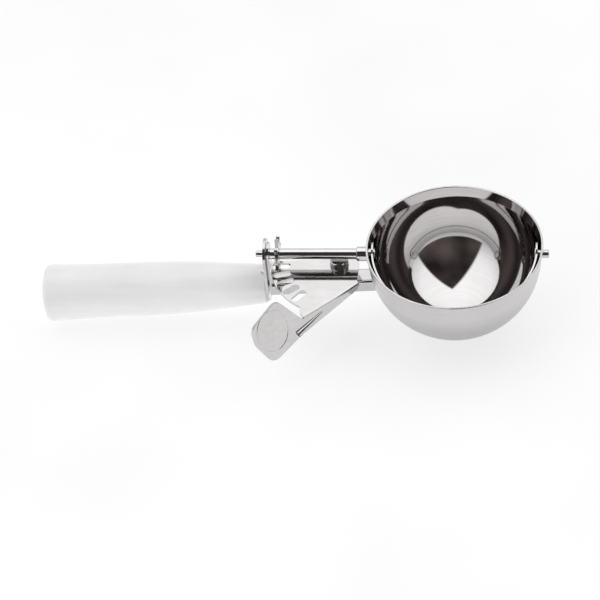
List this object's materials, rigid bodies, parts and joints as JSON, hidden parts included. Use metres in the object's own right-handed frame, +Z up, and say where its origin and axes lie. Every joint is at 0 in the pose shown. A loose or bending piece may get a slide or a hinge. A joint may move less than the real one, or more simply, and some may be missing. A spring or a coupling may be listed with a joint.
{
  "type": "ice scoop",
  "caption": "Thumb-press ice scoop: steel bowl with a swinging scraper blade, geared to a slotted thumb lever, on a shank with a white handle.",
  "frame": {"origin": "centre of the spherical bowl, on the drive shaft's axis", "axes": "+X along the drive shaft towards the far pivot, handle at -X; +Z up, square to the bowl's rim; the thumb lever stands out on the -Y side"},
  "size_m": [0.2329, 0.0909, 0.0469],
  "materials": {
    "bowl_steel": "mirror polished inside, satin polished outside",
    "polished_steel": "polished",
    "pressed_steel": "bright rolled sheet",
    "plain_steel": "machined",
    "spring_steel": "drawn wire",
    "white_plastic": "moulded, semi-gloss"
  },
  "bodies": {
    "scoop_body": {"bowl": "bowl_steel", "shaft_bush": "polished_steel", "shank": "pressed_steel", "end_plate": "pressed_steel", "tang_rod": "plain_steel", "handle": "white_plastic", "pivot_bolt": "plain_steel", "pivot_washer": "plain_steel", "pivot_bush": "plain_steel", "lock_washer": "plain_steel", "pivot_nut": "plain_steel", "return_spring": "spring_steel"},
    "lever": {"thumb_lever": "pressed_steel"},
    "rotor": {"drive_shaft": "polished_steel", "pinion": "pressed_steel", "scraper_blade": "pressed_steel", "far_pivot_pin": "polished_steel"}
  },
  "joints": [
    {"name": "lever_hinge", "type": "hinge", "parent": "scoop_body", "child": "lever", "pos_m": [-0.0525, 0, -0.0074], "axis": [0, 0, -1], "range_deg": [0, 45.5], "stiffness_Nm_per_rad": 0.3, "springref_deg": -20.05, "deforming": ["return_spring"]},
    {"name": "scraper_hinge", "type": "hinge", "parent": "scoop_body", "child": "rotor", "pos_m": [0, 0, 0], "axis": [1, 0, 0], "range_deg": [0, 170.7]}
  ],
  "couplings": [
    {"joint": "scraper_hinge", "follows": "lever_hinge", "ratio": 3.75}
  ]
}
